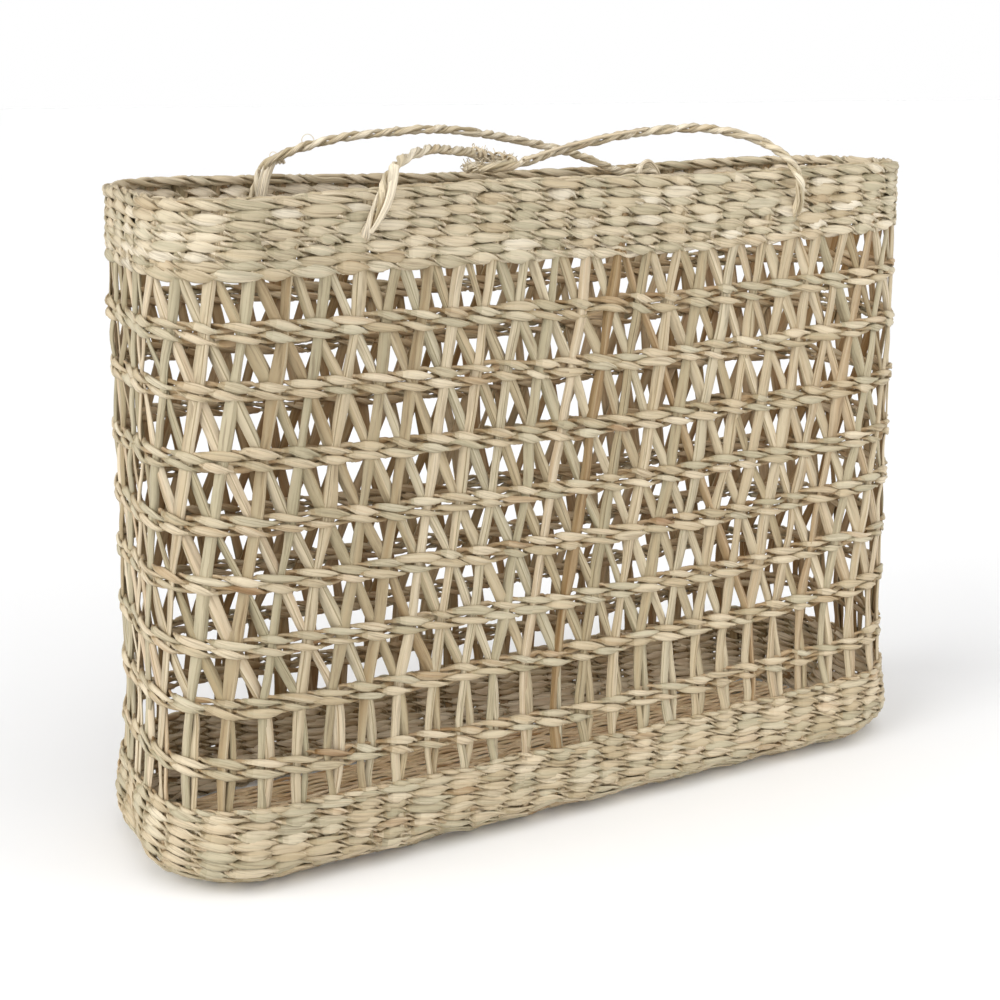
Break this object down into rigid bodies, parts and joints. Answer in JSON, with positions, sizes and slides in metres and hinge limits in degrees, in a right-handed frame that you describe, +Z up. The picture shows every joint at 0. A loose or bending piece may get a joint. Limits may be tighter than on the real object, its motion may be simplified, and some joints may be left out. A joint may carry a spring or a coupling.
{
  "type": "straw basket bag",
  "caption": "Tall narrow straw tote with a dense twined foot and rim, openwork walls that narrow towards the rim, and twisted rope handles.",
  "frame": {"origin": "centre of the floor's underside, where the bag stands", "axes": "+X along the long walls, +Y from the front wall to the back wall, +Z up"},
  "size_m": [0.447, 0.1531, 0.355],
  "materials": {
    "floor_straw": "ribbed brown seagrass",
    "base_straw": "matt twined seagrass, greenish",
    "wall_straw": "matt twined seagrass",
    "rim_straw": "matt twined seagrass",
    "border_straw": "matt rolled seagrass",
    "handle_rope": "twisted seagrass rope"
  },
  "bodies": {
    "root": {"woven_floor": "floor_straw", "base_band": "base_straw", "open_wall": "wall_straw", "rim_band": "rim_straw", "rim_edge": "border_straw", "handle_front": "handle_rope", "handle_back": "handle_rope"}
  },
  "joints": []
}
